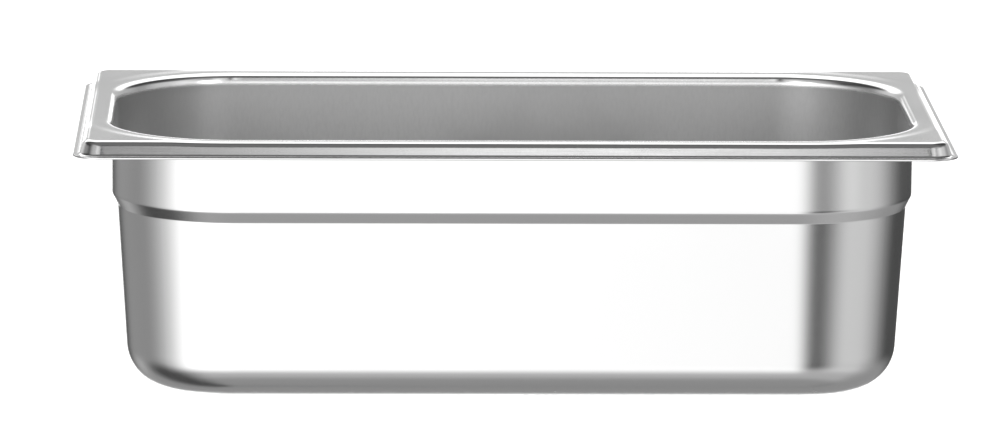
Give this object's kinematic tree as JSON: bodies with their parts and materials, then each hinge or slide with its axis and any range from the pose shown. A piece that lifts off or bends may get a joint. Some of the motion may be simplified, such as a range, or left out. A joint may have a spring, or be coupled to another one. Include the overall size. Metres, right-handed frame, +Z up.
{
  "type": "food pan",
  "caption": "Oblong deep drawn steel food pan with a flanged rim, flat raised rim corners, a stacking shoulder and drafted walls, for food in a counter well or on a shelf.",
  "frame": {"origin": "middle of the flat underside of the base", "axes": "+X along the length, +Y across the width, +Z up, out of the mouth"},
  "size_m": [0.325, 0.176, 0.101],
  "materials": {
    "steel": "satin"
  },
  "bodies": {
    "root": {"pan": "steel"}
  },
  "joints": []
}
